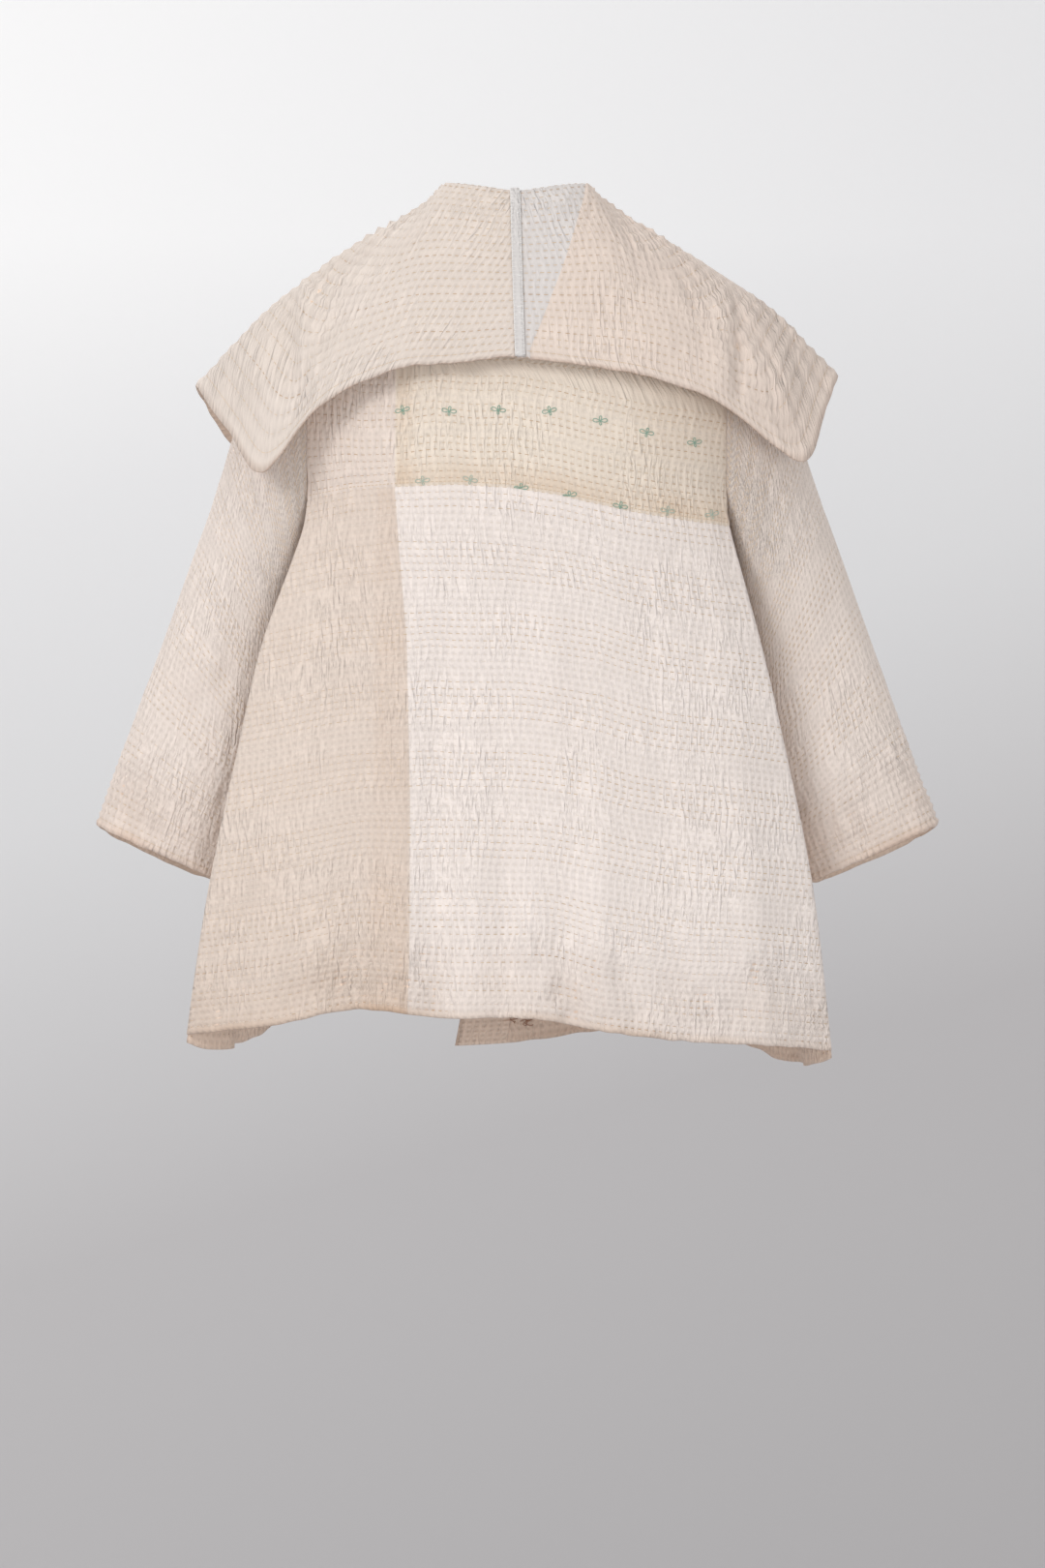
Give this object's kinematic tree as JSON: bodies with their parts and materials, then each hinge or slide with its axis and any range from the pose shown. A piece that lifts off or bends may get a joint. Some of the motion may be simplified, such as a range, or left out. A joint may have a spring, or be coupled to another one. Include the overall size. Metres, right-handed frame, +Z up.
{
  "type": "kantha jacket",
  "caption": "Hollow open-fronted quilted jacket with a wide square-cornered cape collar, three-quarter sleeves and a flared body.",
  "frame": {"origin": "midpoint between the two neck points, level with them, where the jacket hangs on the wearer's shoulders", "axes": "+Z up, front faces -Y, back faces +Y, +X is the wearer's left"},
  "size_m": [0.8144, 0.2845, 0.8416],
  "materials": {
    "body_cotton": "hand-quilted washed cotton, matt",
    "sleeve_cotton": "hand-quilted washed cotton, matt",
    "collar_cotton": "hand-quilted washed cotton, matt",
    "facing_cotton": "turned cotton strip, matt",
    "overlock_thread": "white overlock thread, matt"
  },
  "bodies": {
    "root": {"back": "body_cotton", "front_left": "body_cotton", "front_right": "body_cotton", "sleeve_left": "sleeve_cotton", "sleeve_right": "sleeve_cotton", "collar_left": "collar_cotton", "collar_right": "collar_cotton", "facing_left": "facing_cotton", "facing_right": "facing_cotton", "collar_centre_binding": "overlock_thread"}
  },
  "joints": []
}
